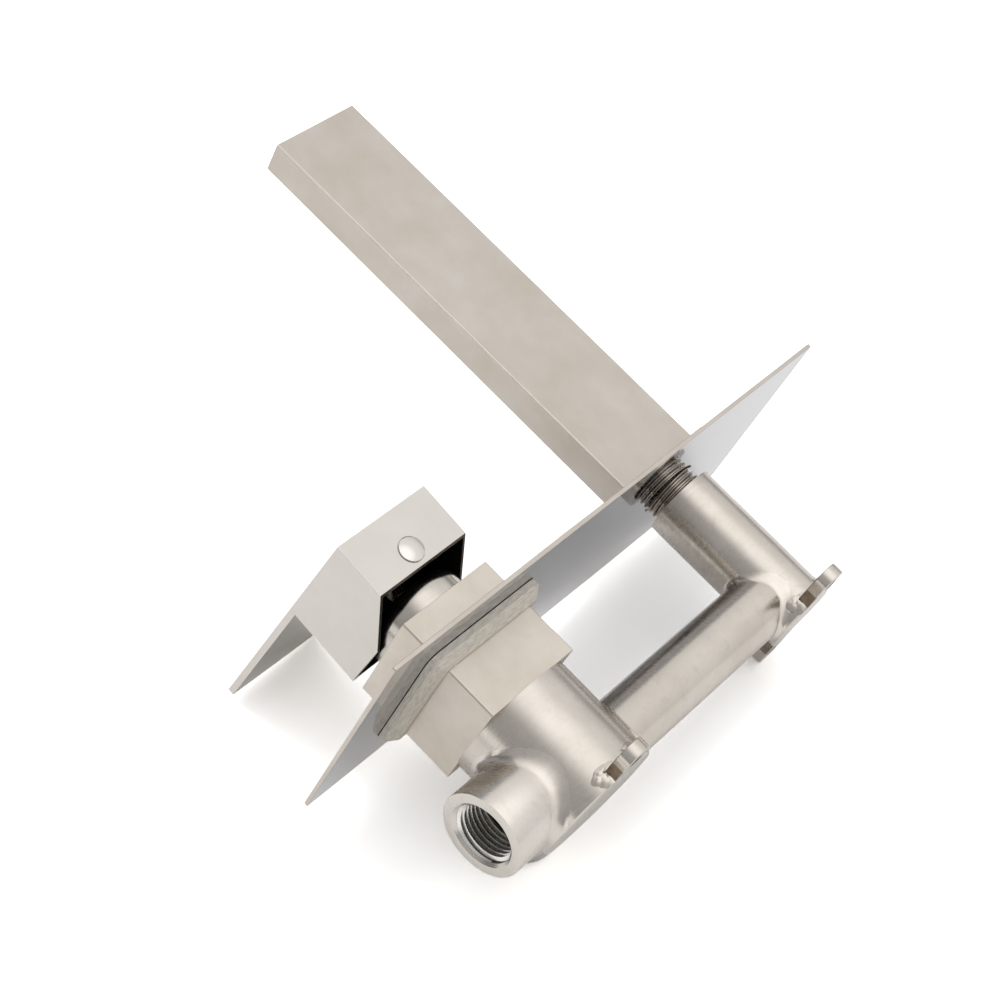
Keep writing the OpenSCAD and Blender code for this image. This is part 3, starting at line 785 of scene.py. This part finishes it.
@dataclass
class Body(Assembly):
    """The welded steel body behind the plate."""

    barrel_radius: float = highest("valve_barrel")[0]
    spout_x: float = MOUNTS["spout_lug_holes"]["pos_m"][0]
    socket_radius: float = highest("spout_socket")[0] - spout_x
    inlet_radius: float = 15 * MM
    inlet_mouth: float = highest("side_inlet")[0]
    inlet_depth: float = MOUNTS["side_inlet_thread"]["pos_m"][1]
    inlet_bore: float = MOUNTS["side_inlet_thread"]["dims"]["r_mm"] * MM
    supply_bore: float = 4 * MM
    edge: float = 0.25 * MM
    edge_bow: float = 0.3
    block_edge: float = 0.15 * MM
    tube_radius: float = 11 * MM
    tube_bore: float = 9 * MM
    tube_depth: float = (lowest("cross_tube")[1] + highest("cross_tube")[1]) / 2
    inlet_fillet: float = 3.4 * MM
    tube_fillet: float = 2.2 * MM
    socket_fillet: float = 2.0 * MM
    weld_start: float = 0.05 * MM
    mouth_bevel: float = 1.02 * MM
    thread: Thread = Thread(crest=9.4 * MM, root=10.6 * MM)
    thread_depth: float = MOUNTS["side_inlet_thread"]["dims"]["length_mm"] * MM
    thread_sink: float = 0.03 * MM
    valve_lug_z: float = MOUNTS["valve_lug_hole"]["pos_m"][2]
    spout_lug_z: float = MOUNTS["spout_lug_holes"]["dims"]["spacing_y_mm"] / 2 * MM
    lug_hole: float = MOUNTS["valve_lug_hole"]["dims"]["r_mm"] * MM
    lug_half: float = highest("valve_lug")[0]
    lug_root: float = 5.5 * MM
    lug_edge: float = 0.4 * MM
    hole_margin: float = 1.05
    lumps: tuple[WeldLump, ...] = (
        WeldLump(offset=-1.3 * MM, depth=-2.4 * MM, size=1.0),
        WeldLump(offset=1.56 * MM, depth=-4.2 * MM, size=0.75),
    )

    def build(self) -> None:
        """Dresses the body and builds its welded branches, threads and lugs."""
        self.dress(TURNED_BODY, "valve_barrel", "spout_socket")
        self.softened("valve_block", [BLOCK_STEEL], self.block_edge)
        self.lug("valve_lug", 0.0, self.valve_lug_z, self.barrel_radius)
        self.lug("upper_spout_lug", self.spout_x, self.spout_lug_z, self.socket_radius)
        self.lug("lower_spout_lug", self.spout_x, -self.spout_lug_z, self.socket_radius)
        self.inlet("side_inlet", Vector((1, 0, 0)))
        self.inlet("bottom_inlet", Vector((0, 0, -1)))
        self.cross_tube()

    def branch_piece(self, node: str, bm: Mesh, branch: Branch, tube: Finish,
                     bore: float = 0.0) -> None:
        """Splits a branch's faces between tube, weld and bore and puts it in the node's place.

        Args:
            node: The CAD node that it replaces.
            bm: The seated mesh.
            branch: The branch that it was spun from.
            tube: The tube's finish.
            bore: The radius up to which its inside is painted dark as shade, or 0 for none.
        """

        def finish_of(part: Face) -> Finish:
            """Tells a face's finish by its distance from the axis.

            Args:
                part: A face.

            Returns:
                The finish of the bore, painted dark as shade, of the weld or of the tube.
            """
            middle = part.calc_center_median() - branch.start
            out = (middle - branch.axis * middle.dot(branch.axis)).length
            # The inside of the bore is painted dark as shade
            if self.supply_bore + self.edge < out < bore:
                return BORE_SHADE
            return WELD_STEEL if out > branch.radius + self.weld_start else tube

        self.piece(f"{node}_turned", bm, [tube, WELD_STEEL, BORE_SHADE], node=node, smooth=30,
                   choose=finish_of)

    def inlet(self, node: str, axis: Vector) -> None:
        """Turns an inlet with its fillet, and winds the thread inside it.

        Args:
            node: The CAD node that it replaces.
            axis: The direction in which the inlet opens.
        """
        centre = Vector((0, self.inlet_depth, 0))
        branch = Branch(centre, axis, self.inlet_radius, self.inlet_fillet)
        mouth, outer = self.inlet_mouth, self.inlet_radius
        floor = mouth - self.mouth_bevel - self.thread_depth
        bow = self.edge_bow * self.edge
        # Whatever lies below the middle of the inlet is moved on to the barrel when it is seated
        outline = [
            (self.supply_bore, -self.edge),
            (self.supply_bore, floor),
            (self.inlet_bore, floor),
            (self.inlet_bore, mouth - self.mouth_bevel),
            (self.inlet_bore + self.mouth_bevel, mouth),
            (outer - self.edge, mouth),
            (outer - bow, mouth - bow),
            (outer, mouth - self.edge),
            (outer, mouth / 2 + self.inlet_fillet + self.edge),
        ]
        outline += reversed(branch.fillet_outline(self.inlet_fillet))
        outline.append((outer + self.inlet_fillet - self.edge, -2 * self.edge))
        bm = branch.spun(outline)
        branch.seat(bm, True, 0.0, self.barrel_radius, mouth / 2)
        self.branch_piece(node, bm, branch, INLET_STEEL, self.inlet_bore)
        ridge = self.thread.ridge(centre + axis * (floor + self.thread.root_width / 2), axis, branch.side(),
                                  self.thread_depth + self.mouth_bevel / 2)
        # The ridge stands back where the mouth's bevel widens the bore
        for vert in ridge.verts:
            along = (vert.co - centre).dot(axis)
            out = vert.co - centre - axis * along
            bevel = self.inlet_bore + self.thread_sink + along - (mouth - self.mouth_bevel)
            if out.length < bevel:
                vert.co += out * (bevel / out.length - 1)
        # The ridge is painted light as a highlight
        self.piece(f"{node}_thread", ridge, [THREAD_HIGHLIGHT], smooth=25)

    def cross_tube(self) -> None:
        """Turns the cross tube with a fillet at both ends."""
        length = -self.spout_x
        branch = Branch(Vector((0, self.tube_depth, 0)), Vector((-1, 0, 0)), self.tube_radius,
                        self.tube_fillet)
        near = branch.fillet_outline(self.tube_fillet)
        far = branch.fillet_outline(self.socket_fillet)
        outline = [
            (self.tube_bore, length + self.edge),
            (self.tube_bore, -self.edge),
            (near[0][0] - self.edge, -2 * self.edge),
        ]
        outline += near
        outline += [(radius, length - height) for radius, height in reversed(far)]
        outline.append((far[0][0] - self.edge, length + 2 * self.edge))
        bm = branch.spun(outline)
        branch.seat(bm, True, 0.0, self.barrel_radius, length / 2)
        branch.seat(bm, False, self.spout_x, self.socket_radius, length / 2)
        self.branch_piece("cross_tube", bm, branch, TUBE_STEEL)

    def lug(self, node: str, x: float, z: float, body_radius: float) -> None:
        """Rounds a screw lug's edges, paints its hole near black as shade and darkens it brown towards its root.

        Args:
            node: The CAD node.
            x: Where its hole stands along X.
            z: Where its hole stands along Z.
            body_radius: The radius of the round body that it is welded to.
        """
        up = math.copysign(1.0, z)
        root_z = up * (body_radius + self.lug_root)
        bm = merged_copy(node)
        bmesh.ops.bisect_plane(bm, geom=bm.verts[:] + bm.edges[:] + bm.faces[:],
                               plane_co=Vector((x, 0, root_z)), plane_no=Vector((0, 0, 1)), dist=MERGE)

        def at_hole(point: Vector) -> bool:
            """Tells whether a point lies at the wall of the screw hole."""
            return math.hypot(point.x - x, point.z - z) < self.lug_hole * self.hole_margin

        def finish_of(part: Face) -> Finish:
            """Tells a face's finish by its place on the lug.

            Args:
                part: A face.

            Returns:
                The finish of the hole, painted near black as shade, of the dark brown root or of the rest.
            """
            middle, facing = part.calc_center_median(), abs(part.normal.y)
            # The hole's wall is painted near black as shade
            if facing < 0.5 and at_hole(middle):
                return LUG_HOLE_SHADE
            return LUG_ROOT if facing < 0.9 and (middle.z - root_z) * up < 0 else LUG_STEEL

        outer = [edge for edge in sharp_edges(bm) if not all(at_hole(vert.co) for vert in edge.verts)]
        round_edges(bm, outer, self.lug_edge)
        self.piece(f"{node}_shown", bm, [LUG_STEEL, LUG_ROOT, LUG_HOLE_SHADE], node=node, flat_sides=True,
                   choose=finish_of)
        for side, name in ((-1, "left"), (1, "right")):
            weld = bmesh.new()
            for lump in self.lumps:
                lump.lay(weld, x, up, side, math.asin(self.lug_half / body_radius), body_radius)
            self.piece(f"{node}_weld_{name}", weld, [LUMP_STEEL], smooth=80)


@dataclass
class Plate(Assembly):
    """The face plate and the gasket behind it."""

    back: float = highest("face_plate")[1]
    edge: float = 0.25 * MM
    gasket_edge: float = 0.35 * MM
    seam: float = 0.2 * MM
    seam_margin: float = 0.01 * MM

    def build(self) -> None:
        """Rounds the plate's edges and polishes its back."""
        self.softened("face_plate", [PLATE_FACE, PLATE_BACK], self.edge,
                      choose=lambda part: PLATE_BACK if part.normal.y > 0.9 else PLATE_FACE)
        self.gasket()

    def gasket(self) -> None:
        """Rounds the gasket's edges, with a near black line of painted shade where it meets the plate."""
        finishes = [GASKET_ACROSS, GASKET_UPRIGHT, GASKET_SEAM_SHADE]
        seam = finishes.index(GASKET_SEAM_SHADE)
        bm = merged_copy("plate_gasket")
        contact = [edge for edge in sharp_edges(bm)
                   if all(abs(vert.co.y - self.back) < self.seam_margin for vert in edge.verts)]
        # The rounded contact edge is painted near black as shade
        round_edges(bm, contact, self.seam, segments=2, finish=seam)
        round_edges(bm, sharp_edges(bm), self.gasket_edge)

        def finish_of(part: Face) -> Finish:
            """Tells a face's finish by the way it looks.

            Args:
                part: A face.

            Returns:
                The finish of the seam, painted near black as shade, of an upright side or of one that runs across.
            """
            if part.material_index == seam:
                return GASKET_SEAM_SHADE
            return GASKET_UPRIGHT if abs(part.normal.x) > abs(part.normal.z) else GASKET_ACROSS

        self.piece("plate_gasket_shown", bm, finishes, node="plate_gasket", flat_sides=True,
                   choose=finish_of)


@dataclass
class Spout(Assembly):
    """The flat spout with its nipple and aerator."""

    x: float = MOUNTS["spout_lug_holes"]["pos_m"][0]
    nipple_start: float = lowest("spout_nipple")[1]
    nipple_end: float = highest("spout_nipple")[1]
    nipple_bore: float = 7 * MM
    nipple_steps: int = 96
    thread: Thread = Thread(crest=10.4 * MM, root=9.2 * MM)
    thread_sink: float = 0.1 * MM

    def build(self) -> None:
        """Dresses the spout and threads its nipple."""
        for node in ("spout_shell", "spout_tip_plate", "spout_foot"):
            # The slanted faces of the rounded edges are painted light as a highlight
            self.softened(node, [SPOUT_STEEL, SPOUT_EDGE_HIGHLIGHT],
                          choose=lambda part: SPOUT_EDGE_HIGHLIGHT if slanted(part) else SPOUT_STEEL)
        self.dress(SPOUT_STEEL, "aerator_seat")
        self.dress(POLISHED_STEEL, "aerator_housing")
        self.dress(MOULDED_PLASTIC, "aerator_insert")
        self.dress(SEAL_RUBBER, "aerator_seal", "spout_washer")
        self.nipple()

    def nipple(self) -> None:
        """Builds the nipple: a tube at the thread's root, and the ridge round it."""
        start, axis, side = Vector((self.x, self.nipple_start, 0)), Vector((0, 1, 0)), Vector((1, 0, 0))
        length = self.nipple_end - self.nipple_start
        core = self.thread.root + self.thread_sink
        outline = [(self.nipple_bore, 0.0), (core, 0.0), (core, length), (self.nipple_bore, length)]
        tube = turned(outline, start, axis, side, self.nipple_steps)
        self.piece("spout_nipple_tube", tube, [NIPPLE_STEEL], node="spout_nipple", smooth=25)
        ridge = self.thread.ridge(start + axis * self.thread.root_width / 2, axis, side, length)
        self.piece("spout_nipple_thread", ridge, [NIPPLE_STEEL], node="spout_nipple", smooth=25)


@dataclass
class Lever(Assembly):
    """The lever, its plug and what holds it on the stem.

    Places on it are told with the lever upright and its tilt pivot at the origin.
    """

    pivot: Vector = field(default_factory=lambda: Vector(JOINTS["flow_tilt"]["pos_m"]))
    drawn_tilt: float = -JOINTS["flow_tilt"]["range_deg"][0]
    edge: float = 0.3 * MM
    hood_top: float = 21 * MM
    blade_start: float = -22 * MM
    # The hood's inner faces, painted near black as shade, lie within these limits and look towards its middle
    hollow_half: float = 19.2 * MM
    hollow_height: float = 20 * MM
    hollow_front: float = -33.5 * MM
    hollow_middle: float = -18 * MM
    hollow_squash: float = 0.6
    # The largest faces of the rear rim, and of an edge as a multiple of its width squared
    rim_area: float = 80 * MM * MM
    edge_area: float = 40.0
    plug_radius: float = 4.5 * MM
    plug_dome: float = 1.1 * MM
    plug_rim: float = 0.3 * MM
    plug_rim_turn: float = 1.1 * math.pi
    plug_spigot: float = 3.6 * MM
    plug_reach: float = 2.2 * MM
    plug_place: float = -21.9 * MM
    plug_steps: int = 96
    dome_steps: int = 12
    rim_steps: int = 8

    def upright(self) -> Matrix:
        """Returns the turn from the drawn lever to an upright one."""
        return Matrix.Rotation(math.radians(self.drawn_tilt), 3, "X")

    def finish_of(self, part: Face) -> Finish:
        """Returns a face's finish.

        Args:
            part: A face of the drawn lever.

        Returns:
            The finish of the hood's inside or its rear rim, both painted dark as shade, of an edge, painted light
            as a highlight, of the blade's back, painted darker as shade, or of the rest.
        """
        turn = self.upright()
        spot, normal = turn @ (part.calc_center_median() - self.pivot), turn @ part.normal
        outwards = Vector((spot.x, (spot.y - self.hollow_middle) * self.hollow_squash, spot.z))
        hollow = abs(spot.x) < self.hollow_half and abs(spot.z) < self.hollow_height
        # The hood's inside is painted near black as shade
        if hollow and spot.y > self.hollow_front and normal.dot(outwards) < 0:
            return LEVER_INSIDE_SHADE
        # The rear rim is painted dark as shade
        if spot.z > -self.hood_top and normal.y > 0.4 and part.calc_area() < self.rim_area:
            return LEVER_REAR_SHADE
        # Small slanted edge faces are painted light as a highlight
        if part.calc_area() < self.edge_area * self.edge ** 2 and slanted(part):
            return LEVER_EDGE_HIGHLIGHT
        # The blade's back is painted darker as shade
        return LEVER_BACK_SHADE if normal.y > 0.9 and spot.z < self.blade_start else LEVER_STEEL

    def build(self) -> None:
        """Rounds the folded sheet's edges, paints shade into the hood's inside, its rear rim and the blade's back,
        paints highlights on its edges and sets the plug.
        """
        finishes = [LEVER_STEEL, LEVER_INSIDE_SHADE, LEVER_BACK_SHADE, LEVER_EDGE_HIGHLIGHT, LEVER_REAR_SHADE]
        self.softened("lever_body", finishes, self.edge, "lever", self.finish_of)
        self.plug()
        # The hub inside the hood is painted near black as shade
        self.dress(LEVER_INSIDE_SHADE, "lever_hub")
        self.dress(PIN_STEEL, "stem", "grub_screw")

    def plug(self) -> None:
        """Turns the domed plug with a round rim, so that a thin dark line parts it from the hood."""
        top, rim = self.hood_top, self.plug_rim
        inner, height = self.plug_radius - rim, self.plug_dome - rim
        dome = (inner ** 2 + height ** 2) / (2 * height)
        reach = math.asin(inner / dome)
        turns = [reach * step / self.dome_steps for step in range(self.dome_steps + 1)]
        outline = [(dome * math.sin(a), top + self.plug_dome - dome * (1 - math.cos(a))) for a in turns]
        turns = [math.pi / 2 - reach - self.plug_rim_turn * step / self.rim_steps
                 for step in range(1, self.rim_steps)]
        outline += [(inner + rim * math.cos(a), top + rim + rim * math.sin(a)) for a in turns]
        outline += [(self.plug_spigot, top), (self.plug_spigot, top - self.plug_reach),
                    (0.0, top - self.plug_reach)]
        drawn = self.upright().inverted()
        middle = self.pivot + drawn @ Vector((0, self.plug_place, 0))
        bm = turned(outline, middle, drawn @ Vector((0, 0, 1)), Vector((1, 0, 0)), self.plug_steps)
        self.piece("lever_plug_turned", bm, [POLISHED_STEEL], "lever", "lever_plug", smooth=40)


@dataclass
class Cartridge(Assembly):
    """The ceramic cartridge and the bonnet over it."""

    def build(self) -> None:
        """Dresses the cartridge's pieces."""
        self.dress(BONNET_STEEL, "bonnet")
        self.dress(NUT_BRASS, "retaining_nut")
        self.dress(MOULDED_PLASTIC, "cartridge_base", "cartridge_housing", "stem_carrier", "disc_driver")
        self.dress(DISC_CERAMIC, "fixed_disc", "moving_disc")
        self.dress(SEAL_RUBBER, "port_seals", "bonnet_ring", "carrier_seal")
        self.dress(PIN_STEEL, "pivot_pin")


@dataclass
class Studio:
    """The floor, the card, the lamp, the world and the photograph's camera."""

    camera_place: Place = (0.40911, 0.03560, 0.56216)
    camera_forward: Place = (-0.62904, -0.17677, -0.75701)
    camera_up: Place = (-0.46297, -0.69708, 0.54748)
    camera_clip: Pair = (0.01, 50.0)
    focal_pixels: float = 2240.71
    picture_pixels: float = 1000.0
    sensor_mm: float = 36.0
    floor_size: float = 6.0
    floor_drop: float = 0.2 * MM
    floor_up: Place = (0.089, -0.337, 0.937)
    floor_tone: float = 0.8
    floor_seen: float = 2.0
    floor_mirrored: float = 1.12
    card_place: Place = (1.6, -0.3, 0.1)
    card_size: Pair = (2.0, 0.5)
    card_level: float = 1.1
    lamp_place: Place = (-0.15, -0.8, 1.1)
    lamp_aim: Place = (-0.04, -0.09, 0.0)
    lamp_size: float = 0.7
    lamp_watts: float = 4.0
    world_fill: float = 0.72
    room_level: float = 1.35
    room_steps: tuple[Pair, ...] = (
        (0.0, 0.6), (0.59, 0.28), (0.7, 0.66), (0.88, 0.75), (1.0, 1.1))
    wall_start: float = 0.2
    wall_end: float = 0.65
    wall_level: float = 0.62
    shade_start: float = 0.05
    shade_end: float = 0.6
    shade_level: float = 0.5

    def build(self) -> None:
        """Sets up everything round the object."""
        self.camera()
        self.floor()
        self.world()
        self.lamp()
        self.card()
        bpy.context.scene.view_settings.view_transform = "Standard"

    def camera(self) -> None:
        """Places the camera where the photograph was taken from."""
        forward = Vector(self.camera_forward).normalized()
        right = forward.cross(Vector(self.camera_up)).normalized()
        up = right.cross(forward)
        data = bpy.data.cameras.new("camera")
        data.sensor_width = self.sensor_mm
        data.lens = self.sensor_mm * self.focal_pixels / self.picture_pixels
        data.clip_start, data.clip_end = self.camera_clip
        made = placed("camera", data)
        turn = Matrix((right, up, -forward)).transposed().to_4x4()
        made.matrix_world = Matrix.Translation(Vector(self.camera_place)) @ turn
        bpy.context.scene.camera = made

    def lamp(self) -> None:
        """Hangs a soft square lamp that shines at the object, which the steel doesn't mirror."""
        data = bpy.data.lights.new("key_lamp", "AREA")
        data.shape, data.size, data.energy = "SQUARE", self.lamp_size, self.lamp_watts
        made = placed("key_lamp", data)
        place = Vector(self.lamp_place)
        turn = (Vector(self.lamp_aim) - place).to_track_quat("-Z", "Y").to_matrix().to_4x4()
        made.matrix_world = Matrix.Translation(place) @ turn
        made.visible_glossy = False

    def sheet(self, name: str, size: Pair, turn: Matrix, place: Vector,
              paint: Material) -> bpy.types.Object:
        """Builds a flat rectangle of the stage.

        Args:
            name: Its name.
            size: Its length and width.
            turn: The turn from lying level to the way it stands.
            place: Where its middle is.
            paint: Its material.

        Returns:
            The new object.
        """
        bm = bmesh.new()
        bmesh.ops.create_grid(bm, x_segments=1, y_segments=1, size=0.5)
        bmesh.ops.scale(bm, verts=bm.verts, vec=Vector((*size, 1.0)))
        bmesh.ops.rotate(bm, verts=bm.verts, matrix=turn)
        bmesh.ops.translate(bm, verts=bm.verts, vec=place)
        made = solid(name, bm)
        made.data.materials.append(paint)
        return made

    def card(self) -> None:
        """Stands a white card beside the object, which only the steel mirrors."""
        recipe = Recipe("card_white")
        recipe.shader.inputs["Base Color"].default_value = BLACK
        recipe.shader.inputs["Emission Color"].default_value = WHITE
        recipe.shader.inputs["Emission Strength"].default_value = self.card_level
        turn = Matrix(((0, 0, 1), (1, 0, 0), (0, 1, 0)))
        made = self.sheet("card", self.card_size, turn, Vector(self.card_place), recipe.material)
        made.visible_camera = made.visible_diffuse = made.visible_shadow = made.visible_transmission = False

    def floor(self) -> None:
        """Lays a white floor that keeps the object's soft shadow.

        The photographed tap rests on its blade, its bottom inlet and its lower lug, so the floor leans
        against them. Seen from below it is clear.
        """
        up = Vector(self.floor_up).normalized()
        under = min(vert.co.dot(up) for node in frame["nodes"].values() for vert in node.data.vertices)
        turn = up.to_track_quat("Z", "Y").to_matrix()
        place = up * (under - self.floor_drop)
        self.sheet("floor", (self.floor_size, self.floor_size), turn, place, self.floor_paint())

    def floor_paint(self) -> Material:
        """Builds the floor's paint, which burns out to white round the shadow and is clear from below.

        Returns:
            The floor's material.
        """
        recipe = Recipe("floor_paint")
        recipe.tree.nodes.remove(recipe.shader)
        rays = recipe.add("LightPath")
        paint = recipe.add("BsdfDiffuse")
        tone: Optional[Socket] = None
        for ray, seen in (("Is Camera Ray", self.floor_seen), ("Is Glossy Ray", self.floor_mirrored)):
            level = recipe.add("Math")
            level.operation = "MULTIPLY_ADD"
            level.inputs[1].default_value = seen - self.floor_tone
            level.inputs[2].default_value = self.floor_tone
            recipe.join(rays.outputs[ray], level.inputs[0])
            if tone is not None:
                recipe.join(tone, level.inputs[2])
            tone = level.outputs["Value"]
        recipe.join(tone, paint.inputs["Color"])
        below = recipe.add("NewGeometry").outputs["Backfacing"]
        clear = recipe.add("BsdfTransparent").outputs["BSDF"]
        recipe.join(recipe.mixed(below, paint.outputs["BSDF"], clear), recipe.output.inputs["Surface"])
        return recipe.material

    def world(self) -> None:
        """Fills the room with plain light, white to the camera and graded where the steel mirrors it."""
        world = bpy.data.worlds.new("room")
        world.use_nodes = True
        bpy.context.scene.world = world
        graph = Graph(world.node_tree)
        fill = graph.add("Background", {"Color": WHITE, "Strength": self.world_fill})
        white = graph.add("Background", {"Color": WHITE, "Strength": 1.0})
        rays = graph.add("LightPath").outputs
        mirrored = graph.mixed(rays["Is Glossy Ray"], fill.outputs["Background"], self.graded_room(graph))
        seen = graph.mixed(rays["Is Camera Ray"], mirrored, white.outputs["Background"])
        graph.join(seen, graph.add("OutputWorld").inputs["Surface"])

    def graded_room(self, graph: Graph) -> Socket:
        """Grades the room by height, lighter on the wall's side and dimmer towards +X.

        Args:
            graph: The world's node tree.

        Returns:
            The socket with the room's light.
        """
        room = graph.add("Background")
        parts = graph.add("SeparateXYZ")
        graph.join(graph.add("TexCoord").outputs["Generated"], parts.inputs["Vector"])
        ramp = graph.add("ValToRGB")
        ramp.color_ramp.interpolation = "EASE"
        stops = ramp.color_ramp.elements
        (_, bottom), *between, (_, top) = self.room_steps
        stops[0].color = (bottom, bottom, bottom, 1.0)
        stops[1].color = (top, top, top, 1.0)
        for position, level in between:
            stops.new(position).color = (level, level, level, 1.0)
        graph.join(graph.spread(parts.outputs["Z"], 0.0, 1.0, start=-1.0, end=1.0), ramp.inputs["Fac"])
        wall = graph.spread(parts.outputs["Y"], 0.0, self.wall_level, self.wall_start, self.wall_end,
                            Slope.SOFT)
        lighter = graph.add("Math")
        lighter.operation = "MAXIMUM"
        graph.join(wall, lighter.inputs[0])
        graph.join(ramp.outputs["Color"], lighter.inputs[1])
        graph.join(lighter.outputs["Value"], room.inputs["Color"])
        strength = graph.spread(parts.outputs["X"], self.room_level, self.room_level * self.shade_level,
                                self.shade_start, self.shade_end, Slope.SOFT)
        graph.join(strength, room.inputs["Strength"])
        return room.outputs["Background"]


def main() -> None:
    """Builds every assembly in order."""
    logging.basicConfig(level=logging.INFO, format="%(name)s: %(message)s")
    for assembly in (Body(), Plate(), Spout(), Cartridge(), Lever()):
        assembly.build()
        for made in assembly.pieces:
            LOG.info("%s: %s, %d faces", type(assembly).__name__, made.name, len(made.data.polygons))
    Studio().build()


if __name__ == "__main__":
    main()
